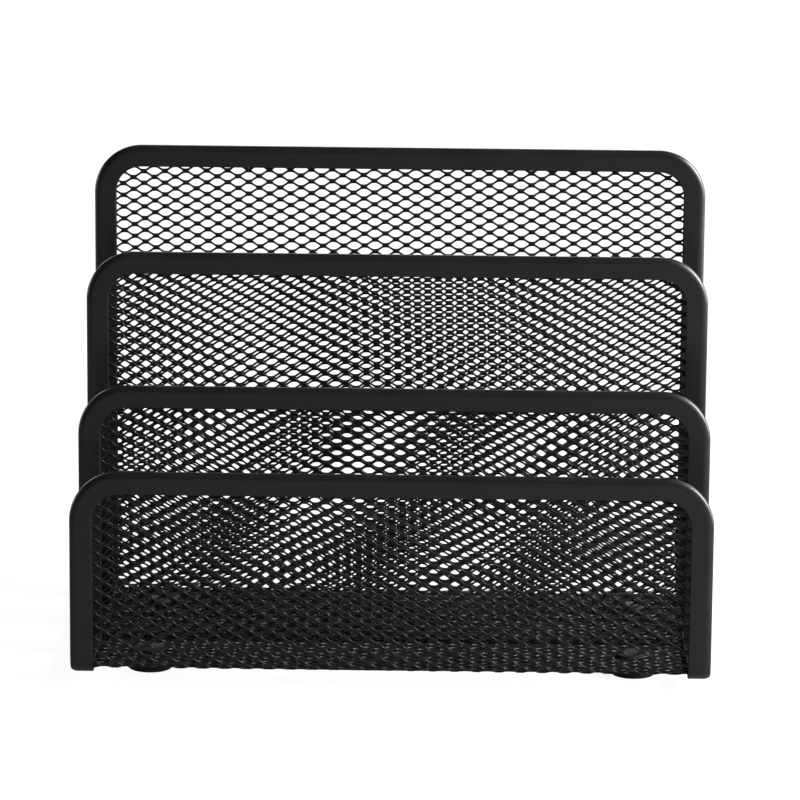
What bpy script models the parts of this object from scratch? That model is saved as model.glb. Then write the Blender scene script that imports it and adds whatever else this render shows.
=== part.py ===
"""Three-slot desk organizer: folded steel-mesh tray, two mesh dividers, channel rims and four feet.

Units are metres. +X runs along the width, +Y from the front panel to the back panel, +Z up.
The origin is on the surface the feet stand on, under the middle of the organizer.
"""
import math

import bmesh
import bpy
from mathutils import Vector

# Overall sizes
WIDTH = 0.200                    # over the outer edges of the rims
SLOT_PITCH = 0.034               # from the middle of one panel to the middle of the next
SLOT_COUNT = 3
FRONT_HEIGHT = 0.0651            # panel heights, each from the underside of the base rims
FRONT_DIVIDER_HEIGHT = 0.0850
REAR_DIVIDER_HEIGHT = 0.1216
BACK_HEIGHT = 0.1508

# Channel that edges every sheet: a folded strip, open towards the sheet
RIM_FACE = 0.0070                # how far the channel's sides reach over the sheet
RIM_THICKNESS = 0.0032           # over both sides of the channel
RIM_SHEET = 0.0006               # gauge of the strip
RIM_EDGE_RADIUS = 0.0012         # rounded outer edges of the fold
RIM_CORNER_RADIUS = 0.0155       # top corners, along the outer edge

# Mesh sheets, drawn as plain sheets as thick as the expanded mesh
MESH_THICKNESS = 0.0010
TRAY_BEND_RADIUS = 0.0040        # base to front and base to back, at the middle of the sheet
FLANGE_LENGTH = 0.0050           # foot flange of a divider, past its bend
FLANGE_BEND_RADIUS = 0.0015

# Feet and the studs that hold them through the base mesh
FOOT_DIAMETER = 0.0160
FOOT_DROP = 0.0040               # from the underside of the base rims down to the desk
FOOT_SIDE_INSET = 0.0235         # foot axis in from the rim's outer edge
FOOT_END_INSET = 0.0220          # foot axis in from the front or back panel
FOOT_SOLE_DIAMETER = 0.0110      # flat that touches the desk
FOOT_EDGE_HEIGHT = 0.0022        # height at which the foot reaches its full diameter
FOOT_FLOOR = 0.0015              # material left under the blind bore
STUD_STEM_DIAMETER = 0.0024
STUD_HEAD_DIAMETER = 0.0100
STUD_HEAD_HEIGHT = 0.0011
STUD_HEAD_EDGE = 0.0005          # height of the head at its edge

CLEARANCE = 0.0003               # gap kept between touching pieces

# How finely round stretches are cut
EDGE_SEGMENTS = 3
CORNER_SEGMENTS = 7
BEND_SEGMENTS = 4
TURN_STEPS = 24

# Places worked out from the sizes above
DEPTH_BETWEEN_PANELS = SLOT_PITCH * SLOT_COUNT
FRONT_Y = -DEPTH_BETWEEN_PANELS / 2
BACK_Y = DEPTH_BETWEEN_PANELS / 2
HALF_WIDTH = WIDTH / 2
BASE_Z = FOOT_DROP + RIM_THICKNESS / 2             # middle of the base sheet
BASE_TOP_Z = BASE_Z + MESH_THICKNESS / 2
BASE_UNDERSIDE_Z = BASE_Z - MESH_THICKNESS / 2
RAIL_TOP_Z = FOOT_DROP + RIM_THICKNESS
LEG_END_Z = RAIL_TOP_Z + CLEARANCE                 # lower ends of the dividers' legs
SHEET_INSET = RIM_SHEET + CLEARANCE                # sheet edge in from the rim's outer edge
SHEET_HALF_WIDTH = HALF_WIDTH - SHEET_INSET
FLANGE_HALF_WIDTH = HALF_WIDTH - RIM_FACE - CLEARANCE
STUD_HOLE_DIAMETER = STUD_STEM_DIAMETER + 2 * CLEARANCE


def clear_scene():
    for item in list(bpy.data.objects):
        bpy.data.objects.remove(item, do_unlink=True)


def new_collection(name):
    collection = bpy.data.collections.new(name)
    bpy.context.scene.collection.children.link(collection)
    return collection


def make_material(name, colour, roughness, metallic):
    material = bpy.data.materials.new(name)
    material.use_nodes = True
    shader = material.node_tree.nodes["Principled BSDF"]
    shader.inputs["Base Color"].default_value = (*colour, 1.0)
    shader.inputs["Roughness"].default_value = roughness
    shader.inputs["Metallic"].default_value = metallic
    return material


def arc(centre, radius, start_degrees, end_degrees, segments):
    """Points of a circular arc in a plane, both ends included."""
    points = []
    for step in range(segments + 1):
        angle = math.radians(start_degrees + (end_degrees - start_degrees) * step / segments)
        across = centre[0] + radius * math.cos(angle)
        along = centre[1] + radius * math.sin(angle)
        points.append((across, along))
    return points


def add_object(name, data, collection, parent=None):
    item = bpy.data.objects.new(name, data)
    collection.objects.link(item)
    item.parent = parent
    return item


# Rims -------------------------------------------------------------------------------------------

def poly_curve(name, points, closed, tilt=0.0):
    curve = bpy.data.curves.new(name, "CURVE")
    curve.dimensions = "3D"
    curve.twist_mode = "MINIMUM"
    spline = curve.splines.new("POLY")
    spline.points.add(len(points) - 1)
    spline.use_cyclic_u = closed
    for spline_point, place in zip(spline.points, points):
        spline_point.co = (*place, 1.0)
        spline_point.tilt = tilt
    return curve


def channel_profile(collection):
    """Cross-section of the rim. Its X runs from the closed outer edge towards the sheet."""
    outer_half = RIM_THICKNESS / 2
    inner_half = outer_half - RIM_SHEET
    inner_radius = RIM_EDGE_RADIUS - RIM_SHEET
    outer_centre = outer_half - RIM_EDGE_RADIUS
    inner_centre = inner_half - inner_radius
    points = [(RIM_FACE, outer_half)]
    points += arc((RIM_EDGE_RADIUS, outer_centre), RIM_EDGE_RADIUS, 90, 180, EDGE_SEGMENTS)
    points += arc((RIM_EDGE_RADIUS, -outer_centre), RIM_EDGE_RADIUS, 180, 270, EDGE_SEGMENTS)
    points.append((RIM_FACE, -outer_half))
    points.append((RIM_FACE, -inner_half))
    points += arc((RIM_EDGE_RADIUS, -inner_centre), inner_radius, 270, 180, EDGE_SEGMENTS)
    points += arc((RIM_EDGE_RADIUS, inner_centre), inner_radius, 180, 90, EDGE_SEGMENTS)
    points.append((RIM_FACE, inner_half))
    curve = poly_curve("channel_profile", [(x, y, 0.0) for x, y in reversed(points)], True)
    curve.dimensions = "2D"
    profile = add_object("channel_profile", curve, collection)
    profile.hide_render = True
    profile.display_type = "WIRE"
    return profile


def arch(y, top_z):
    """Rounded top of one panel's rim, left corner to right corner, along its outer edge."""
    corner_x = HALF_WIDTH - RIM_CORNER_RADIUS
    corner_z = top_z - RIM_CORNER_RADIUS
    left = arc((-corner_x, corner_z), RIM_CORNER_RADIUS, 180, 90, CORNER_SEGMENTS)
    right = arc((corner_x, corner_z), RIM_CORNER_RADIUS, 90, 0, CORNER_SEGMENTS)
    return [Vector((x, y, z)) for x, z in left + right]


def base_bend(x, y, start_degrees, end_degrees):
    """Bend of a base rim where it turns up into a panel, at one side of the organizer."""
    inward = TRAY_BEND_RADIUS if y < 0 else -TRAY_BEND_RADIUS
    centre = (y + inward, BASE_Z + TRAY_BEND_RADIUS)
    turn = arc(centre, TRAY_BEND_RADIUS, start_degrees, end_degrees, BEND_SEGMENTS)
    return [Vector((x, bend_y, bend_z)) for bend_y, bend_z in turn]


def outer_rim_path():
    """Closed loop: over the front, down under the right side, over the back, under the left side."""
    path = arch(FRONT_Y, FOOT_DROP + FRONT_HEIGHT)
    path += base_bend(HALF_WIDTH, FRONT_Y, 180, 270)
    path += base_bend(HALF_WIDTH, BACK_Y, 270, 360)
    path += reversed(arch(BACK_Y, FOOT_DROP + BACK_HEIGHT))
    path += base_bend(-HALF_WIDTH, BACK_Y, 360, 270)
    path += base_bend(-HALF_WIDTH, FRONT_Y, 270, 180)
    return path


def divider_rim_path(height):
    """Upturned U that stands on the two base rims."""
    left_foot = Vector((-HALF_WIDTH, 0.0, LEG_END_Z))
    right_foot = Vector((HALF_WIDTH, 0.0, LEG_END_Z))
    return [left_foot] + arch(0.0, FOOT_DROP + height) + [right_foot]


def make_rim(name, path, closed, profile, material, collection, parent):
    """Sweep the channel along a path. A closed loop starts half a turn over, so it is tilted back."""
    curve = poly_curve(name, path, closed, math.pi if closed else 0.0)
    curve.bevel_mode = "OBJECT"
    curve.bevel_object = profile
    curve.use_fill_caps = not closed
    curve.materials.append(material)
    return add_object(name, curve, collection, parent)


# Mesh sheets ------------------------------------------------------------------------------------

def sheet_top(path_end, sign):
    """Rounded top corners of a flat pattern. Its length runs from path_end, growing with sign."""
    radius = RIM_CORNER_RADIUS - SHEET_INSET
    corner_x = SHEET_HALF_WIDTH - radius
    centre = path_end + sign * radius
    left = arc((-corner_x, centre), radius, 180, 180 + 90 * sign, CORNER_SEGMENTS)
    right = arc((corner_x, centre), radius, -90 * sign, 0, CORNER_SEGMENTS)
    return left + right


def path_lengths(side_path):
    """Distance along the side view of a folded sheet at each of its points."""
    lengths = [0.0]
    for start, end in zip(side_path, side_path[1:]):
        lengths.append(lengths[-1] + math.dist(start, end))
    return lengths


def folded_sheet(name, outline, side_path, material, collection, parent):
    """Cut a flat pattern along its fold lines, fold it to the side path and give it its gauge."""
    lengths = path_lengths(side_path)
    pattern = bmesh.new()
    pattern.faces.new([pattern.verts.new((x, along, 0.0)) for x, along in outline])
    for fold in lengths[1:-1]:
        whole = pattern.verts[:] + pattern.edges[:] + pattern.faces[:]
        bmesh.ops.bisect_plane(pattern, geom=whole, plane_co=(0.0, fold, 0.0), plane_no=(0.0, 1.0, 0.0))
    last_stretch = len(lengths) - 2
    for vertex in pattern.verts:
        along = vertex.co.y
        stretch = 0
        while stretch < last_stretch and along > lengths[stretch + 1]:
            stretch += 1
        share = (along - lengths[stretch]) / (lengths[stretch + 1] - lengths[stretch])
        start = Vector(side_path[stretch])
        end = Vector(side_path[stretch + 1])
        place = start.lerp(end, share)
        vertex.co = (vertex.co.x, place.x, place.y)
    mesh = bpy.data.meshes.new(name)
    pattern.to_mesh(mesh)
    pattern.free()
    mesh.materials.append(material)
    sheet = add_object(name, mesh, collection, parent)
    gauge = sheet.modifiers.new("gauge", "SOLIDIFY")
    gauge.thickness = MESH_THICKNESS
    gauge.offset = 0.0
    gauge.use_even_offset = True
    return sheet


def tray_side_path():
    """Side view of the tray sheet, from the top of the front to the top of the back."""
    centre_z = BASE_Z + TRAY_BEND_RADIUS
    front_centre = (FRONT_Y + TRAY_BEND_RADIUS, centre_z)
    back_centre = (BACK_Y - TRAY_BEND_RADIUS, centre_z)
    path = [(FRONT_Y, FOOT_DROP + FRONT_HEIGHT - SHEET_INSET)]
    path += arc(front_centre, TRAY_BEND_RADIUS, 180, 270, BEND_SEGMENTS)
    path += arc(back_centre, TRAY_BEND_RADIUS, 270, 360, BEND_SEGMENTS)
    path.append((BACK_Y, FOOT_DROP + BACK_HEIGHT - SHEET_INSET))
    return path


def make_tray(material, collection, parent):
    side_path = tray_side_path()
    length = path_lengths(side_path)[-1]
    outline = sheet_top(0.0, 1) + list(reversed(sheet_top(length, -1)))
    return folded_sheet("mesh_tray", outline, side_path, material, collection, parent)


def divider_side_path(height, flange_sign):
    """Side view of a divider sheet, from its top down to the end of its foot flange."""
    flange_z = BASE_TOP_Z + CLEARANCE + MESH_THICKNESS / 2
    centre = (flange_sign * FLANGE_BEND_RADIUS, flange_z + FLANGE_BEND_RADIUS)
    if flange_sign > 0:
        bend = arc(centre, FLANGE_BEND_RADIUS, 180, 270, BEND_SEGMENTS)
    else:
        bend = arc(centre, FLANGE_BEND_RADIUS, 0, -90, BEND_SEGMENTS)
    top = (0.0, FOOT_DROP + height - SHEET_INSET)
    flange_end = (flange_sign * (FLANGE_BEND_RADIUS + FLANGE_LENGTH), flange_z)
    return [top] + bend + [flange_end]


def make_divider_mesh(name, height, flange_sign, material, collection, parent):
    side_path = divider_side_path(height, flange_sign)
    lengths = path_lengths(side_path)
    bend_start = lengths[1]
    leg_end = FOOT_DROP + height - SHEET_INSET - LEG_END_Z
    notch = min(bend_start, leg_end)
    outline = sheet_top(0.0, 1)
    outline += [(SHEET_HALF_WIDTH, notch), (FLANGE_HALF_WIDTH, notch), (FLANGE_HALF_WIDTH, lengths[-1])]
    outline += [(-FLANGE_HALF_WIDTH, lengths[-1]), (-FLANGE_HALF_WIDTH, notch), (-SHEET_HALF_WIDTH, notch)]
    return folded_sheet(name, outline, side_path, material, collection, parent)


# Feet -------------------------------------------------------------------------------------------

def turned_mesh(name, profile, material):
    """Mesh of an upright profile line, ready for a full turn about Z."""
    mesh = bpy.data.meshes.new(name)
    edges = [(index, index + 1) for index in range(len(profile) - 1)]
    mesh.from_pydata([(radius, 0.0, height) for radius, height in profile], edges, [])
    mesh.materials.append(material)
    return mesh


def add_turn(item):
    turn = item.modifiers.new("turn", "SCREW")
    turn.steps = TURN_STEPS
    turn.render_steps = TURN_STEPS
    turn.use_merge_vertices = True
    turn.merge_threshold = 0.00001
    turn.use_smooth_shade = True


def foot_profile():
    """Foot from the top of its blind bore, over the outside and down to the sole."""
    bore_radius = STUD_HOLE_DIAMETER / 2
    top_z = BASE_UNDERSIDE_Z - CLEARANCE
    outer_radius = FOOT_DIAMETER / 2
    sole_radius = FOOT_SOLE_DIAMETER / 2
    reach = outer_radius - sole_radius
    profile = [(0.0, FOOT_FLOOR), (bore_radius, FOOT_FLOOR), (bore_radius, top_z), (outer_radius, top_z)]
    for step in range(EDGE_SEGMENTS + 1):
        angle = math.radians(90 * step / EDGE_SEGMENTS)
        across = sole_radius + reach * math.cos(angle)
        height = FOOT_EDGE_HEIGHT * (1 - math.sin(angle))
        profile.append((across, height))
    profile.append((0.0, 0.0))
    return profile


def stud_profile():
    """Stud from the crown of its head, round the head's edge and down the stem."""
    head_radius = STUD_HEAD_DIAMETER / 2
    stem_radius = STUD_STEM_DIAMETER / 2
    underside_z = BASE_TOP_Z + CLEARANCE
    edge_z = underside_z + STUD_HEAD_EDGE
    crown_rise = STUD_HEAD_HEIGHT - STUD_HEAD_EDGE
    profile = []
    for step in range(EDGE_SEGMENTS + 1):
        share = step / EDGE_SEGMENTS
        profile.append((head_radius * share, edge_z + crown_rise * (1 - share ** 2)))
    profile.append((head_radius, underside_z))
    profile.append((stem_radius, underside_z))
    profile.append((stem_radius, FOOT_FLOOR + CLEARANCE))
    profile.append((0.0, FOOT_FLOOR + CLEARANCE))
    return profile


def foot_places():
    x = HALF_WIDTH - FOOT_SIDE_INSET
    front_y = FRONT_Y + FOOT_END_INSET
    rear_y = BACK_Y - FOOT_END_INSET
    return {
        "front_left": (-x, front_y, 0.0),
        "front_right": (x, front_y, 0.0),
        "rear_left": (-x, rear_y, 0.0),
        "rear_right": (x, rear_y, 0.0),
    }


def cut_stud_hole(tray, place, cutters):
    """Punch the round hole of one stud through the base of the tray."""
    depth = 4 * MESH_THICKNESS
    bpy.ops.mesh.primitive_cylinder_add(
        vertices=TURN_STEPS, radius=STUD_HOLE_DIAMETER / 2, depth=depth, location=(place[0], place[1], BASE_Z))
    cutter = bpy.context.active_object
    cutter.name = "stud_hole_cutter"
    for collection in list(cutter.users_collection):
        collection.objects.unlink(cutter)
    cutters.objects.link(cutter)
    cutter.hide_render = True
    cutter.display_type = "WIRE"
    hole = tray.modifiers.new("stud_hole", "BOOLEAN")
    hole.operation = "DIFFERENCE"
    hole.solver = "EXACT"
    hole.object = cutter


def make_feet(tray, foot_material, stud_material, collection, cutters, parent):
    for corner, place in foot_places().items():
        foot_mesh = turned_mesh("foot_" + corner, foot_profile(), foot_material)
        stud_mesh = turned_mesh("foot_stud_" + corner, stud_profile(), stud_material)
        for mesh in (foot_mesh, stud_mesh):
            item = add_object(mesh.name, mesh, collection, parent)
            item.location = place
            add_turn(item)
        cut_stud_hole(tray, place, cutters)


def main():
    clear_scene()
    parts = new_collection("desk_organizer")
    cutters = new_collection("cutters")
    frame = add_object("desk_organizer_frame", None, parts)
    profile = channel_profile(cutters)

    rim_paint = make_material("rim_black_paint", (0.024, 0.024, 0.025), 0.42, 0.0)
    mesh_paint = make_material("mesh_black_paint", (0.020, 0.020, 0.021), 0.40, 0.0)
    foot_rubber = make_material("foot_rubber", (0.012, 0.012, 0.012), 0.70, 0.0)
    stud_plastic = make_material("stud_plastic", (0.015, 0.015, 0.015), 0.50, 0.0)

    make_rim("outer_rim", outer_rim_path(), True, profile, rim_paint, parts, frame)
    tray = make_tray(mesh_paint, parts, frame)
    dividers = (
        ("front_divider", FRONT_Y + SLOT_PITCH, FRONT_DIVIDER_HEIGHT, 1),
        ("rear_divider", BACK_Y - SLOT_PITCH, REAR_DIVIDER_HEIGHT, -1),
    )
    for name, y, height, flange_sign in dividers:
        rim = make_rim(name + "_rim", divider_rim_path(height), False, profile, rim_paint, parts, frame)
        sheet = make_divider_mesh(name + "_mesh", height, flange_sign, mesh_paint, parts, frame)
        rim.location.y = y
        sheet.location.y = y
    make_feet(tray, foot_rubber, stud_plastic, parts, cutters, frame)
    bpy.context.view_layer.update()


main()
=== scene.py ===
"""Looks of the three-slot desk organizer: expanded-metal sheets, formed channel rims and every material.

Lengths are in metres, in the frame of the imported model: +X along the width, +Y from front to back, +Z up.
A sheet and its rim are laid out flat first, across in x and along in s from the rim's outer edge, with a
depth d on the sheet's outer side, and a FoldedSheet then bends both to the same side view.
"""
import math

import bmesh
import bpy
import numpy as np
from mathutils import Matrix, Vector


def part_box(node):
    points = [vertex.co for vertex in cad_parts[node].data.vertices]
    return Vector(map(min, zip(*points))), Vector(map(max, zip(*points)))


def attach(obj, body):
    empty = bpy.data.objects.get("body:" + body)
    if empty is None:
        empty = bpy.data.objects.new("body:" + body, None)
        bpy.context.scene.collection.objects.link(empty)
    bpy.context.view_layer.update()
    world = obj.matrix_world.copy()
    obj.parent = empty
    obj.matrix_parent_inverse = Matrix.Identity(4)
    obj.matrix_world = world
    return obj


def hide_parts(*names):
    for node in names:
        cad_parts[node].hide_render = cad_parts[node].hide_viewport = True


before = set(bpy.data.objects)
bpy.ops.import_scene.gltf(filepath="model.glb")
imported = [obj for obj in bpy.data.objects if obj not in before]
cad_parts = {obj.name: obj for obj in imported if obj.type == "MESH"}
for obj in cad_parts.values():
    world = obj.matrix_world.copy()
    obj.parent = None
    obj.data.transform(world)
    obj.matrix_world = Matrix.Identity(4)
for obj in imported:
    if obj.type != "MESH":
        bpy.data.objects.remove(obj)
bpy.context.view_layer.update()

ROOT = "root"

# Channel that edges every sheet
RIM_FACE = 0.0070                # how far its sides reach over the sheet
RIM_SHEET = 0.0006               # gauge of the strip it is formed from
RIM_EDGE_RADIUS = 0.0007         # tight rounding beside the flat closed edge
RIM_SHOULDER_RADIUS = 0.0032     # gentle rounding from there to the flat side
RIM_SHOULDER_TURN = 35.0         # degrees of the quarter turn that the gentle rounding takes
RIM_LIP_RADIUS = 0.00022         # softened free edges
RIM_CORNER_RADIUS = 0.0155       # top corners, along the outer edge
RIM_HOLDING = 0.00012            # narrow strip that keeps the flat sides flat beside a rounding

# Folds of the sheets, at the middle of their thickness
TRAY_BEND_RADIUS = 0.0040
FLANGE_BEND_RADIUS = 0.0015
FLANGE_LENGTH = 0.0050
CLEARANCE = 0.0003               # gap between a divider's foot flange and the base

# Expanded metal
LONG_WAY = 0.00686               # from bond to bond along a row
SHORT_WAY = 0.00394              # from bond to bond across the rows
BOND_LENGTH = 0.0017             # stretch over which two strands stay joined
BOND_WAIST = 0.00080             # width of a strand at the middle of a bond
BOND_FLARE = 0.00010             # how much wider it is at the ends of the bond
STRAND_WIDTH = 0.00086           # width of a strand halfway between bonds, across the rows
STRAND_GAUGE = 0.00056
STRAND_TILT = math.radians(-16)  # turn of the strands out of the sheet
STRAND_EDGE = 0.00024            # paint-rounded edges of a strand
MESH_INSET = 0.0017              # where the mesh ends inside the channel
MESH_CORNER_RADIUS = 0.0138

# How the holes lie on each flat sheet: x and s of one hole, slope of the rows, lean of the columns, draw.
# Draw is how far the sheet was pulled open across its rows, as a share of the usual pull.
TRAY_FRONT_HOLE = (0.00347, 0.02894, 0.0143, -0.0143, 1.0)
TRAY_BACK_HOLE = (0.00321, 0.23784, 0.0207, -0.0210, 0.992)
FRONT_DIVIDER_HOLE = (0.00585, 0.00736, 0.0296, 0.0054, 1.0)
REAR_DIVIDER_HOLE = (0.00085, 0.04538, -0.0376, 0.0370, 0.985)

# How finely round stretches are cut
CORNER_STEPS = 28
BEND_STEPS = 12
EDGE_STEPS = 6
LIP_STEPS = 3
STRIP_SMOOTHING = 60             # degrees between faces up to which an edge is shaded round
WIRE_SMOOTHING = 110
MERGE_DISTANCE = 1e-6

# How a strand is cut into stations and sides
STATIONS_PER_HALF_PITCH = 4
BETWEEN_BONDS = 0.5              # climb of the station halfway between two bonds
STRAND_SIDES = 6
LOW_SIDES = (0, 5)               # sides that meet the neighbour below, towards lower s
HIGH_SIDES = (2, 3)
SPARE_WIDTH = 1.1                # rows are laid this much wider than the sheet, then cut off
SPARE_ROWS = 4                   # rows laid past the sheet's length, to make up for their slope

# Map of a mesh piece: a square with a margin, in two strips side by side
MAP_MARGIN = 0.01
MAP_STRIP_WIDTH = 0.47
MAP_HEIGHT = 0.98
MAP_INNER_START = 0.5            # how far right the strip of the inner sides lies


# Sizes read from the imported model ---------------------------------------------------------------

def read_sizes():
    """The places that the looks have to meet, measured on the CAD nodes."""
    outer_low, outer_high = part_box("outer_rim")
    divider_low, divider_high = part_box("front_divider_rim")
    tray_low, tray_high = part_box("mesh_tray")
    rim_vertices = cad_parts["outer_rim"].data.vertices
    thickness = divider_high.y - divider_low.y
    sizes = {
        "half_width": outer_high.x,
        "rim_thickness": thickness,
        "front_y": outer_low.y + thickness / 2,
        "back_y": outer_high.y - thickness / 2,
        "base_z": outer_low.z + thickness / 2,
        "front_top": max(vertex.co.z for vertex in rim_vertices if vertex.co.y < 0),
        "back_top": outer_high.z,
        "leg_end_z": divider_low.z,
    }
    sizes["gauge"] = (tray_high.y - tray_low.y) - (sizes["back_y"] - sizes["front_y"])
    return sizes


SIZES = read_sizes()


# Folding ----------------------------------------------------------------------------------------

class FoldedSheet:
    """Side view of a sheet: straight runs and bends, followed from its first edge.

    Each run is (length, turn). The outer side of the sheet lies to the right of the way it runs.
    """

    def __init__(self, start, heading, runs):
        self.starts = [0.0]
        self.places = [np.array(start)]
        self.headings = [heading]
        self.runs = runs
        for length, turn in runs:
            end_place, end_heading = self.follow(len(self.starts) - 1, np.array([length]))
            self.starts.append(self.starts[-1] + length)
            self.places.append(end_place[0])
            self.headings.append(end_heading[0])
        self.length = self.starts[-1]

    def follow(self, index, distance):
        """Places and headings at some distances into one run. Distances past its ends carry the run on."""
        length, turn = self.runs[index]
        heading = self.headings[index]
        if turn == 0:
            headings = np.full(len(distance), heading)
            step = np.stack([np.cos(headings), np.sin(headings)], axis=1) * distance[:, None]
            return self.places[index] + step, headings
        radius = length / turn
        headings = heading + distance / radius
        across = radius * (np.sin(headings) - math.sin(heading))
        up = -radius * (np.cos(headings) - math.cos(heading))
        return self.places[index] + np.stack([across, up], axis=1), headings

    def fold(self, x, along, depth):
        """Flat (x, s, d) to folded (x, y, z)."""
        points = np.empty((len(x), 3))
        points[:, 0] = x
        which = np.searchsorted(self.starts[1:-1], along, side="right")
        for index in range(len(self.runs)):
            chosen = which == index
            if not chosen.any():
                continue
            places, headings = self.follow(index, along[chosen] - self.starts[index])
            outward = np.stack([np.sin(headings), -np.cos(headings)], axis=1)
            points[chosen, 1:] = places + outward * depth[chosen, None]
        return points


DOWN = -math.pi / 2
QUARTER = math.pi / 2


def tray_fold():
    """Front panel down, base to the back, back panel up, from the top of the front rim."""
    bend_z = SIZES["base_z"] + TRAY_BEND_RADIUS
    bend = (TRAY_BEND_RADIUS * QUARTER, QUARTER)
    base_length = SIZES["back_y"] - SIZES["front_y"] - 2 * TRAY_BEND_RADIUS
    runs = [
        (SIZES["front_top"] - bend_z, 0),
        bend,
        (base_length, 0),
        bend,
        (SIZES["back_top"] - bend_z, 0),
    ]
    return FoldedSheet((SIZES["front_y"], SIZES["front_top"]), DOWN, runs)


def divider_fold(y, top_z, side):
    """Divider panel down and out into its foot flange, which points to the front (-1) or the back (1)."""
    flange_z = SIZES["base_z"] + SIZES["gauge"] + CLEARANCE
    runs = [
        (top_z - flange_z - FLANGE_BEND_RADIUS, 0),
        (FLANGE_BEND_RADIUS * QUARTER, side * QUARTER),
        (FLANGE_LENGTH, 0),
    ]
    return FoldedSheet((y, top_z), DOWN, runs)


# Channel rims -----------------------------------------------------------------------------------

def arc(centre, radius, start_degrees, end_degrees, steps):
    """Points of a circular arc in a plane, both ends included."""
    points = []
    for step in range(steps + 1):
        angle = math.radians(start_degrees + (end_degrees - start_degrees) * step / steps)
        points.append((centre[0] + radius * math.cos(angle), centre[1] + radius * math.sin(angle)))
    return points


def channel_half(side):
    """Half of the channel's section, from the middle of its closed edge, outside first, then inside.

    The first number of a point is how far in from the outer edge it lies, the second its depth.
    """
    half = SIZES["rim_thickness"] / 2
    inner_half = half - RIM_SHEET
    lip_q = RIM_FACE - RIM_LIP_RADIUS
    meeting = 90 + RIM_SHOULDER_TURN
    swing = math.radians(meeting)
    radius_step = RIM_SHOULDER_RADIUS - RIM_EDGE_RADIUS
    edge_centre = (RIM_EDGE_RADIUS, half - RIM_SHOULDER_RADIUS + radius_step * math.sin(swing))
    shoulder_centre = (RIM_EDGE_RADIUS - radius_step * math.cos(swing), half - RIM_SHOULDER_RADIUS)
    points = arc(edge_centre, RIM_EDGE_RADIUS, 180, meeting, EDGE_STEPS)
    points += arc(shoulder_centre, RIM_SHOULDER_RADIUS, meeting, 90, EDGE_STEPS)[1:]
    points.append((shoulder_centre[0] + RIM_HOLDING, half))
    points.append((lip_q - RIM_HOLDING, half))
    points += arc((lip_q, half - RIM_LIP_RADIUS), RIM_LIP_RADIUS, 90, 0, LIP_STEPS)
    points += arc((lip_q, inner_half + RIM_LIP_RADIUS), RIM_LIP_RADIUS, 0, -90, LIP_STEPS)
    points += arc(shoulder_centre, RIM_SHOULDER_RADIUS - RIM_SHEET, 90, meeting, EDGE_STEPS)
    points += arc(edge_centre, RIM_EDGE_RADIUS - RIM_SHEET, meeting, 180, LIP_STEPS)[1:]
    return [(inward, side * depth) for inward, depth in points]


def channel_section():
    """The whole closed section, outside one way and inside back."""
    front = channel_half(1)
    back = channel_half(-1)
    return front + back[::-1]


def corner(centre_x, centre_s, start_degrees, end_degrees):
    """Stations of one rounded corner of an outline: (x, s, inward x, inward s)."""
    stations = []
    for x, along in arc((0, 0), 1, start_degrees, end_degrees, CORNER_STEPS):
        place_x = centre_x + RIM_CORNER_RADIUS * x
        place_s = centre_s + RIM_CORNER_RADIUS * along
        stations.append((place_x, place_s, -x, -along))
    return stations


def top_corners(half_width):
    """Left and right corner at the sheet's first edge, in order from left to right."""
    corner_x = half_width - RIM_CORNER_RADIUS
    left = corner(-corner_x, RIM_CORNER_RADIUS, 180, 270)
    right = corner(corner_x, RIM_CORNER_RADIUS, 270, 360)
    return left + right


def side_stations(fold, x, inward_x):
    """Stations down one straight side, close together where the sheet bends."""
    stations = []
    for start, (length, turn) in zip(fold.starts, fold.runs):
        if turn:
            for step in range(BEND_STEPS + 1):
                stations.append((x, start + length * step / BEND_STEPS, inward_x, 0.0))
    return stations


def tray_outline(fold):
    """Closed outline of the flat tray: front top, right side, back top, left side."""
    half_width = SIZES["half_width"]
    corner_x = half_width - RIM_CORNER_RADIUS
    far = fold.length - RIM_CORNER_RADIUS
    outline = top_corners(half_width)
    outline += side_stations(fold, half_width, -1.0)
    outline += corner(corner_x, far, 0, 90)
    outline += corner(-corner_x, far, 90, 180)
    outline += side_stations(fold, -half_width, 1.0)[::-1]
    return outline


def divider_outline(top_z):
    """Open outline of a divider's rim: left leg up, over the top, right leg down."""
    half_width = SIZES["half_width"]
    leg_end = top_z - SIZES["leg_end_z"]
    return [(-half_width, leg_end, 1.0, 0.0)] + top_corners(half_width) + [(half_width, leg_end, -1.0, 0.0)]


def make_rim(name, fold, outline, closed, material):
    """Run the channel's section round an outline of the flat sheet and fold the result."""
    section = np.array(channel_section())
    path = np.array(outline)
    inward = section[:, 0]
    x = path[:, 0, None] + path[:, 2, None] * inward
    along = path[:, 1, None] + path[:, 3, None] * inward
    depth = np.broadcast_to(section[:, 1], x.shape)
    points = fold.fold(x.ravel(), along.ravel(), depth.ravel())
    stations = len(path)
    sides = len(section)
    faces = []
    for station in range(stations if closed else stations - 1):
        here = station * sides
        there = (station + 1) % stations * sides
        for side in range(sides):
            turn = (side + 1) % sides
            faces.append((here + side, here + turn, there + turn, there + side))
    if not closed:
        last = (stations - 1) * sides
        faces.append(tuple(range(sides))[::-1])
        faces.append(tuple(range(last, last + sides)))
    return finish_piece(name, points, faces, material, STRIP_SMOOTHING)


# Expanded metal ---------------------------------------------------------------------------------

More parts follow.
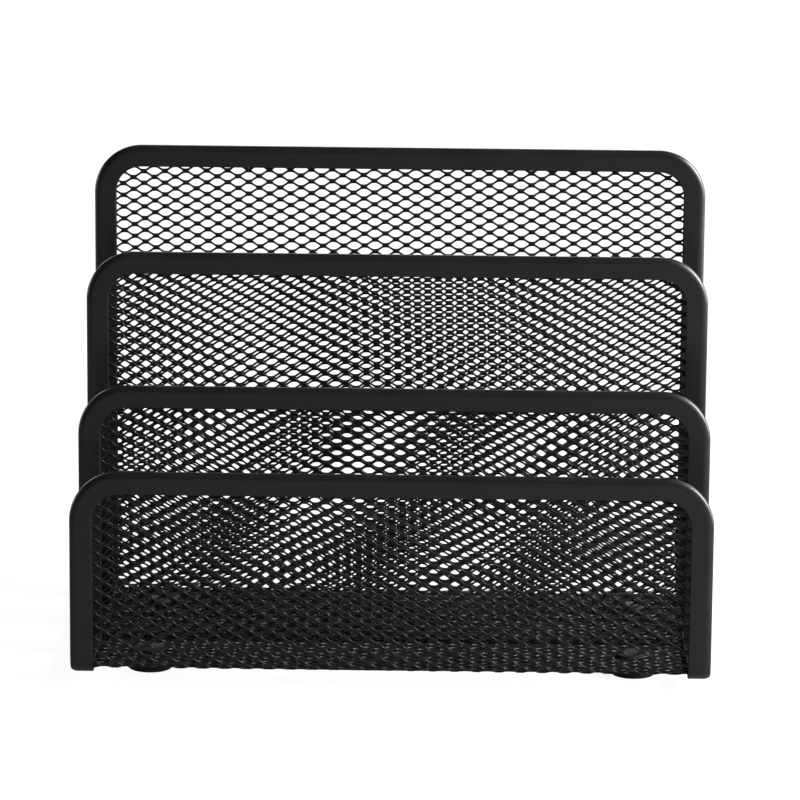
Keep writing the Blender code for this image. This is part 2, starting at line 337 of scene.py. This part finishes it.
def strand_stations(count):
    """Stations of a strand over a number of half pitches, starting at one end of a bond.

    Each row is (x, climb, low edge, high edge). Climb is 0 at one row of bonds and 1 at the next, and the
    edges are distances in s from the first row.
    """
    rise = SHORT_WAY / 2
    flare = BOND_WAIST + BOND_FLARE
    rows = []
    for step in range(count):
        middle = step * LONG_WAY / 2
        climb = step % 2
        for place, width in ((-BOND_LENGTH / 2, flare), (0.0, BOND_WAIST), (BOND_LENGTH / 2, flare)):
            low = climb * (rise - width)
            rows.append((middle + place, climb, low, low + width))
        low = (rise - STRAND_WIDTH) / 2
        rows.append((middle + LONG_WAY / 4, BETWEEN_BONDS, low, low + STRAND_WIDTH))
    return np.array(rows)


def strand_sections(stations, first_bond_s):
    """Six-sided sections of one strand, as flat (x, s, d) for every station."""
    x, climb, low, high = stations.T
    slope = math.tan(STRAND_TILT)
    middle = (low + high) / 2
    half = (high - low) / 2
    middle_d = half * slope * (1 - 2 * climb)
    low_edge = np.where(climb == 0, 0.0, STRAND_EDGE)
    high_edge = np.where(climb == 1, 0.0, STRAND_EDGE)
    gauge = STRAND_GAUGE / 2
    corners = (
        (-half, 0.0),
        (-half + low_edge, gauge),
        (half - high_edge, gauge),
        (half, 0.0),
        (half - high_edge, -gauge),
        (-half + low_edge, -gauge),
    )
    sections = np.empty((len(x), len(corners), 3))
    for index, (across, through) in enumerate(corners):
        sections[:, index, 0] = x
        sections[:, index, 1] = first_bond_s + middle + across - through * math.sin(STRAND_TILT)
        sections[:, index, 2] = middle_d + across * slope + through * math.cos(STRAND_TILT)
    return sections


def lay_lattice(hole, start=(LONG_WAY / 2, 0.0)):
    """A function that lays lattice places on a flat sheet. The start is the hole's place in the lattice."""
    x, along, slope, lean, draw = hole

    def lay(lattice_x, lattice_s):
        across = lattice_x - start[0]
        down = lattice_s - start[1]
        return x + across + lean * down, along + draw * down + slope * across

    return lay


def lay_tray_lattice(fold):
    """The tray's lattice: one sheet whose rows drift a little along the base, from front to back.

    Holes lie an odd number of half pitches across in even rows, and an even number in odd rows. The back
    hole is matched with the hole nearest to it in the front's lattice carried on.
    """
    half_pitch = LONG_WAY / 2
    half_row = SHORT_WAY / 2
    front = lay_lattice(TRAY_FRONT_HOLE)
    steps_down = round((TRAY_BACK_HOLE[1] - TRAY_FRONT_HOLE[1]) / half_row)
    drifted_x = half_pitch + TRAY_BACK_HOLE[0] - front(half_pitch, steps_down * half_row)[0]
    odd = steps_down % 2
    steps_across = 2 * round((drifted_x / half_pitch - 1 - odd) / 2) + 1 + odd
    back = lay_lattice(TRAY_BACK_HOLE, (steps_across * half_pitch, steps_down * half_row))
    base_start = fold.starts[2] - TRAY_FRONT_HOLE[1]
    base_length = fold.starts[3] - fold.starts[2]

    def lay(lattice_x, lattice_s):
        share = np.clip((lattice_s - base_start) / base_length, 0.0, 1.0)
        front_x, front_s = front(lattice_x, lattice_s)
        back_x, back_s = back(lattice_x, lattice_s)
        return front_x + (back_x - front_x) * share, front_s + (back_s - front_s) * share

    return lay


def make_mesh(name, fold, share, edges, limit, lay, material):
    """Strands of a share of a sheet's rows, cut off at the sheet's edges and as long as limit(s) allows.

    Share is the stretch of s, at the middle of the width, whose rows belong to this piece.
    """
    half_row = SHORT_WAY / 2
    half_pitch = LONG_WAY / 2
    pitches_each_way = math.ceil(SPARE_WIDTH * SIZES["half_width"] / LONG_WAY)
    half_pitches = 4 * pitches_each_way      # two ways, and two half pitches in each pitch
    stations = strand_stations(half_pitches)
    rows = math.ceil(fold.length / half_row) + SPARE_ROWS
    points = []
    spans = {}
    vertex_count = 0
    for row in range(-rows, rows):
        if not share[0] <= lay(0.0, row * half_row)[1] < share[1]:
            continue
        sections = strand_sections(stations, row * half_row)
        sections[:, :, 0] += half_pitch * (row % 2 - half_pitches // 2)
        sections[:, :, 0], sections[:, :, 1] = lay(sections[:, :, 0], sections[:, :, 1])
        low_s = sections[:, :, 1].min(axis=1)
        high_s = sections[:, :, 1].max(axis=1)
        reach = np.array([limit(along) for along in (low_s + high_s) / 2])
        inside = (np.abs(sections[:, 0, 0]) <= reach) & (low_s >= edges[0]) & (high_s <= edges[1])
        free = np.flatnonzero(inside & (stations[:, 1] == BETWEEN_BONDS))
        if len(free) < 2:
            continue
        begin = free[0]
        end = free[-1]
        spans[row] = (begin, end, vertex_count)
        points.append(sections[begin:end + 1].reshape(-1, 3))
        vertex_count += (end + 1 - begin) * STRAND_SIDES
    faces = []
    for row in spans:
        faces += strand_faces(row, spans, stations)
    flat = np.concatenate(points)
    folded = fold.fold(flat[:, 0], flat[:, 1], flat[:, 2])
    return finish_piece(name, folded, faces, material, WIRE_SMOOTHING, sheet_map(flat, faces))


def strand_faces(row, spans, stations):
    """Faces round one strand. Where it is joined to a neighbour the two sides that touch are left out.

    Spans holds, for each row, its strand's first and last station and the number of its first vertex.
    """
    begin, end, first = spans[row]
    faces = []
    for station in range(begin, end):
        hidden = hidden_sides(row, station, spans, stations)
        here = first + (station - begin) * STRAND_SIDES
        there = here + STRAND_SIDES
        for side in range(STRAND_SIDES):
            if side in hidden:
                continue
            turn = (side + 1) % STRAND_SIDES
            faces.append((here + side, here + turn, there + turn, there + side))
    last = first + (end - begin) * STRAND_SIDES
    faces.append(tuple(range(first, first + STRAND_SIDES))[::-1])
    faces.append(tuple(range(last, last + STRAND_SIDES)))
    return faces


def sheet_map(flat, faces):
    """Map places of every face corner: outer sides of the strands in the left half, inner sides right.

    Strand ends, which hide in the channels, are drawn out a little by their depth to give them a width.
    """
    low_s = flat[:, 1].min()
    span_s = flat[:, 1].max() - low_s
    half_width = SIZES["half_width"]
    places = []
    for face in faces:
        corners = flat[list(face)]
        low_edges = [index - index % STRAND_SIDES for index in face]
        is_end = len(face) == STRAND_SIDES
        is_inner = not is_end and corners[:, 2].mean() < flat[low_edges, 2].mean()
        strip_start = MAP_MARGIN + (MAP_INNER_START if is_inner else 0.0)
        for x, along, depth in corners:
            across = (x + half_width) / (2 * half_width) + (depth if is_end else 0.0)
            up = (along - low_s) / span_s
            places.append((strip_start + MAP_STRIP_WIDTH * across, MAP_MARGIN + MAP_HEIGHT * up))
    return places


def hidden_sides(row, station, spans, stations):
    """Sides of a strand that lie inside a bond between this station and the next."""
    climb = stations[station, 1]
    if BETWEEN_BONDS in (climb, stations[station + 1, 1]):
        return ()
    if climb == 0:
        neighbour = row - 1
        sides = LOW_SIDES
    else:
        neighbour = row + 1
        sides = HIGH_SIDES
    if neighbour not in spans:
        return ()
    shifted = station + STATIONS_PER_HALF_PITCH * (1 if row % 2 else -1)
    begin, end, _ = spans[neighbour]
    if begin <= shifted < end:
        return sides
    return ()


# Pieces -----------------------------------------------------------------------------------------

def finish_piece(name, points, faces, material, smoothing, map_places=None):
    """A mesh object from points and faces, shaded round over edges of up to some degrees."""
    mesh = bpy.data.meshes.new(name)
    mesh.from_pydata([tuple(point) for point in points], [], faces)
    if map_places is not None:
        layer = mesh.uv_layers.new(name="OFBake")
        layer.data.foreach_set("uv", np.array(map_places).ravel())
    working = bmesh.new()
    working.from_mesh(mesh)
    bmesh.ops.remove_doubles(working, verts=working.verts[:], dist=MERGE_DISTANCE)
    bmesh.ops.recalc_face_normals(working, faces=working.faces[:])
    working.to_mesh(mesh)
    working.free()
    mesh.shade_smooth()
    mesh.set_sharp_from_angle(angle=math.radians(smoothing))
    mesh.materials.append(material)
    piece = bpy.data.objects.new(name, mesh)
    bpy.context.scene.collection.objects.link(piece)
    return piece


def stand_for(piece, slot, *nodes):
    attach(piece, ROOT)
    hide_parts(*nodes)


# Materials --------------------------------------------------------------------------------------

NOISE_LOW = 0.3                  # noise hardly ever leaves these two levels
NOISE_HIGH = 0.7
PATCH_DETAIL = 3.0
GRAIN_DETAIL = 2.0
COOL_TINT = 1.03                 # blue over red and green
MIX_FACTOR = 0                   # sockets of a mix node that are in use for colours
MIX_COLOR_A = 6
MIX_COLOR_B = 7
MIX_COLOR_RESULT = 2


def new_material(name):
    material = bpy.data.materials.new(name)
    material.use_nodes = True
    tree = material.node_tree
    return material, tree, tree.nodes["Principled BSDF"]


def add_noise(tree, scale, detail):
    """Noise that sits still on the piece."""
    place = tree.nodes.new("ShaderNodeTexCoord")
    noise = tree.nodes.new("ShaderNodeTexNoise")
    noise.inputs["Scale"].default_value = scale
    noise.inputs["Detail"].default_value = detail
    tree.links.new(place.outputs["Object"], noise.inputs["Vector"])
    return noise.outputs["Fac"]


def add_range(tree, value, low, high):
    """Spread a noise value evenly between two levels."""
    spread = tree.nodes.new("ShaderNodeMapRange")
    spread.inputs["From Min"].default_value = NOISE_LOW
    spread.inputs["From Max"].default_value = NOISE_HIGH
    spread.inputs["To Min"].default_value = low
    spread.inputs["To Max"].default_value = high
    tree.links.new(value, spread.inputs["Value"])
    return spread.outputs["Result"]


def add_shades(tree, value, dark, light):
    mix = tree.nodes.new("ShaderNodeMix")
    mix.data_type = "RGBA"
    mix.inputs[MIX_COLOR_A].default_value = (*dark, 1.0)
    mix.inputs[MIX_COLOR_B].default_value = (*light, 1.0)
    tree.links.new(value, mix.inputs[MIX_FACTOR])
    return mix.outputs[MIX_COLOR_RESULT]


def add_relief(tree, value, height):
    relief = tree.nodes.new("ShaderNodeBump")
    relief.inputs["Strength"].default_value = 1.0
    relief.inputs["Distance"].default_value = height
    tree.links.new(value, relief.inputs["Height"])
    return relief.outputs["Normal"]


def black_surface(name, shades, roughness, shine, patch_scale, grain_scale, grain_height):
    """A black surface with slow patches in shade and gloss and a fine grain.

    Shades and roughness are (low, high) pairs. Grain height is in metres.
    """
    material, tree, shader = new_material(name)
    patches = add_noise(tree, patch_scale, PATCH_DETAIL)
    grain = add_noise(tree, grain_scale, GRAIN_DETAIL)
    dark = (shades[0], shades[0], shades[0] * COOL_TINT)
    light = (shades[1], shades[1], shades[1] * COOL_TINT)
    tree.links.new(add_shades(tree, patches, dark, light), shader.inputs["Base Color"])
    tree.links.new(add_range(tree, patches, *roughness), shader.inputs["Roughness"])
    tree.links.new(add_relief(tree, grain, grain_height), shader.inputs["Normal"])
    shader.inputs["Specular IOR Level"].default_value = shine
    return material


def rim_paint():
    """Satin black powder coat with a faint orange peel."""
    return black_surface(
        "rim_black_paint",
        shades=(0.006, 0.010),
        roughness=(0.28, 0.34),
        shine=0.52,
        patch_scale=60.0,
        grain_scale=900.0,
        grain_height=0.000004,
    )


def mesh_paint():
    """The same coat on the thin strands, where it has run together and dried a little rougher. Its shades
    are set darker than the rim's as painted shade, for the shade that falls among the strands.
    """
    return black_surface(
        "mesh_black_paint",
        # darker than the rim's shades: painted shade among the strands, not a darker coat
        shades=(0.004, 0.007),
        roughness=(0.40, 0.48),
        shine=0.38,
        patch_scale=120.0,
        grain_scale=1500.0,
        grain_height=0.000004,
    )


def foot_rubber():
    """Matt rubber with a fine moulded grain."""
    return black_surface(
        "foot_rubber",
        shades=(0.010, 0.016),
        roughness=(0.68, 0.80),
        shine=0.35,
        patch_scale=250.0,
        grain_scale=2500.0,
        grain_height=0.00001,
    )


def stud_plastic():
    """Moulded plastic, a little glossier than the rubber."""
    return black_surface(
        "stud_plastic",
        shades=(0.011, 0.016),
        roughness=(0.42, 0.52),
        shine=0.5,
        patch_scale=200.0,
        grain_scale=1800.0,
        grain_height=0.000005,
    )


# Build ------------------------------------------------------------------------------------------

def mesh_limit(first_edge, last_edge=None):
    """How far the mesh reaches to either side at a height s, with its rounded corners."""
    half = SIZES["half_width"] - MESH_INSET

    def limit(along):
        drop = along - (first_edge + MESH_INSET)
        if last_edge is not None:
            drop = min(drop, last_edge - MESH_INSET - along)
        if drop >= MESH_CORNER_RADIUS:
            return half
        rest = MESH_CORNER_RADIUS - max(drop, 0.0)
        return half - MESH_CORNER_RADIUS + math.sqrt(MESH_CORNER_RADIUS ** 2 - rest ** 2)

    return limit


def build_tray(rim_coat, mesh_coat):
    """The tray's rim, and its mesh in three pieces of whole rows: front, base and back.

    The first and last share reach past the sheet's ends, so that no row is left out.
    """
    fold = tray_fold()
    rim = make_rim("outer_rim_formed", fold, tray_outline(fold), True, rim_coat)
    stand_for(rim, "rim_paint", "outer_rim")
    limit = mesh_limit(0.0, fold.length)
    edges = (MESH_INSET, fold.length - MESH_INSET)
    shares = (-LONG_WAY, fold.starts[2], fold.starts[3], fold.length + LONG_WAY)
    lay = lay_tray_lattice(fold)
    for index, name in enumerate(("mesh_tray_front", "mesh_tray_base", "mesh_tray_back")):
        piece = make_mesh(name, fold, shares[index:index + 2], edges, limit, lay, mesh_coat)
        stand_for(piece, "mesh_paint", "mesh_tray")


def build_divider(name, side, hole, rim_coat, mesh_coat):
    """A divider's rim and its mesh, which is narrower below the ends of the rim's legs."""
    low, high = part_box(name + "_rim")
    y = (low.y + high.y) / 2
    fold = divider_fold(y, high.z, side)
    rim = make_rim(name + "_rim_formed", fold, divider_outline(high.z), False, rim_coat)
    stand_for(rim, "rim_paint", name + "_rim")
    corner_limit = mesh_limit(0.0)
    leg_end = high.z - SIZES["leg_end_z"]
    flange_half = SIZES["half_width"] - RIM_FACE - CLEARANCE

    def limit(along):
        return corner_limit(along) if along < leg_end - MESH_INSET else flange_half

    lay = lay_lattice(hole)
    share = (-LONG_WAY, fold.length + LONG_WAY)
    edges = (MESH_INSET, fold.length)
    piece = make_mesh(name + "_expanded_mesh", fold, share, edges, limit, lay, mesh_coat)
    stand_for(piece, "mesh_paint", name + "_mesh")


def build_small_parts():
    rubber = foot_rubber()
    plastic = stud_plastic()
    for name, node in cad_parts.items():
        if name.startswith("foot_stud"):
            node.data.materials[0] = plastic
        elif name.startswith("foot"):
            node.data.materials[0] = rubber


# Studio -----------------------------------------------------------------------------------------

CAMERA_FOCAL_LENGTH = 205.5
CAMERA_SENSOR = 36.0
CAMERA_AZIMUTH = math.radians(0.99)
CAMERA_ELEVATION = math.radians(12.52)
CAMERA_ROLL = math.radians(0.48)
CAMERA_DISTANCE = 1.459
CAMERA_AIM = Vector((0.0, -0.001, 0.079))
CAMERA_SLIDE = (-0.00155, -0.00273)      # shift of the object to the right and up, in the picture plane
WHITE = (1.0, 1.0, 1.0, 1.0)
FLOOR_HALF_SIZE = 6.0
FLOOR_SHADE = 0.19                       # how much light the matt floor throws back
FLOOR_GLOW = 0.05                        # its own light on the object
FLOOR_GLOW_SEEN = 0.93                   # its own light as the camera sees it
WORLD_FILL = 0.01
LIGHT_AIM = (0.0, 0.0, 0.07)


def add_camera():
    sin_a, cos_a = math.sin(CAMERA_AZIMUTH), math.cos(CAMERA_AZIMUTH)
    sin_e, cos_e = math.sin(CAMERA_ELEVATION), math.cos(CAMERA_ELEVATION)
    forward = Vector((-sin_a * cos_e, cos_a * cos_e, -sin_e))
    level = Vector((cos_a, sin_a, 0.0))
    rise = level.cross(forward)
    right = level * math.cos(CAMERA_ROLL) + rise * math.sin(CAMERA_ROLL)
    up = rise * math.cos(CAMERA_ROLL) - level * math.sin(CAMERA_ROLL)
    place = CAMERA_AIM - forward * CAMERA_DISTANCE - right * CAMERA_SLIDE[0] - up * CAMERA_SLIDE[1]
    data = bpy.data.cameras.new("camera")
    data.lens = CAMERA_FOCAL_LENGTH
    data.sensor_width = CAMERA_SENSOR
    camera = bpy.data.objects.new("camera", data)
    rotation = Matrix((right, up, -forward)).transposed().to_4x4()
    camera.matrix_world = Matrix.Translation(place) @ rotation
    bpy.context.scene.collection.objects.link(camera)
    bpy.context.scene.camera = camera


def add_softbox(name, place, width, height, power):
    """A rectangular light that faces the middle of the object. The camera doesn't see it."""
    data = bpy.data.lights.new(name, "AREA")
    data.shape = "RECTANGLE"
    data.size = width
    data.size_y = height
    data.energy = power
    light = bpy.data.objects.new(name, data)
    light.location = place
    light.rotation_euler = (Vector(LIGHT_AIM) - Vector(place)).to_track_quat("-Z", "Y").to_euler()
    light.visible_camera = False
    bpy.context.scene.collection.objects.link(light)


def add_floor():
    """A matt floor that is near white to the camera, though it throws little light on the object."""
    mesh = bpy.data.meshes.new("floor")
    size = FLOOR_HALF_SIZE
    corners = [(-size, -size, 0), (size, -size, 0), (size, size, 0), (-size, size, 0)]
    mesh.from_pydata(corners, [], [(0, 1, 2, 3)])
    material = bpy.data.materials.new("floor_white")
    material.use_nodes = True
    nodes = material.node_tree.nodes
    links = material.node_tree.links
    nodes.clear()
    output = nodes.new("ShaderNodeOutputMaterial")
    matt = nodes.new("ShaderNodeBsdfDiffuse")
    matt.inputs["Color"].default_value = (FLOOR_SHADE, FLOOR_SHADE, FLOOR_SHADE, 1.0)
    glow = nodes.new("ShaderNodeEmission")
    both = nodes.new("ShaderNodeAddShader")
    path = nodes.new("ShaderNodeLightPath")
    level = nodes.new("ShaderNodeMapRange")
    level.inputs["To Min"].default_value = FLOOR_GLOW
    level.inputs["To Max"].default_value = FLOOR_GLOW_SEEN
    links.new(path.outputs["Is Camera Ray"], level.inputs["Value"])
    links.new(level.outputs["Result"], glow.inputs["Strength"])
    links.new(matt.outputs[0], both.inputs[0])
    links.new(glow.outputs[0], both.inputs[1])
    links.new(both.outputs[0], output.inputs["Surface"])
    mesh.materials.append(material)
    floor = bpy.data.objects.new("floor", mesh)
    bpy.context.scene.collection.objects.link(floor)


def add_world():
    """A white background for the camera, and a faint even fill for everything else."""
    world = bpy.data.worlds.new("studio")
    world.use_nodes = True
    nodes = world.node_tree.nodes
    links = world.node_tree.links
    nodes.clear()
    output = nodes.new("ShaderNodeOutputWorld")
    seen = nodes.new("ShaderNodeBackground")
    seen.inputs["Color"].default_value = WHITE
    fill = nodes.new("ShaderNodeBackground")
    fill.inputs["Color"].default_value = WHITE
    fill.inputs["Strength"].default_value = WORLD_FILL
    mix = nodes.new("ShaderNodeMixShader")
    path = nodes.new("ShaderNodeLightPath")
    links.new(path.outputs["Is Camera Ray"], mix.inputs[0])
    links.new(fill.outputs[0], mix.inputs[1])
    links.new(seen.outputs[0], mix.inputs[2])
    links.new(mix.outputs[0], output.inputs["Surface"])
    bpy.context.scene.world = world


def add_studio():
    add_camera()
    add_floor()
    add_world()
    add_softbox("key_right", (1.05, -0.35, 0.65), 0.6, 0.6, 46)
    add_softbox("side_right", (1.2, -0.15, 0.18), 0.8, 0.32, 11)
    add_softbox("side_left", (-1.3, 0.0, 0.25), 0.8, 0.5, 6)
    add_softbox("backdrop", (0.0, 1.6, 0.55), 3.0, 1.0, 13)
    bpy.context.scene.view_settings.view_transform = "Standard"


def build():
    rim_coat = rim_paint()
    mesh_coat = mesh_paint()
    build_tray(rim_coat, mesh_coat)
    build_divider("front_divider", 1, FRONT_DIVIDER_HOLE, rim_coat, mesh_coat)
    build_divider("rear_divider", -1, REAR_DIVIDER_HOLE, rim_coat, mesh_coat)
    build_small_parts()
    add_studio()


build()
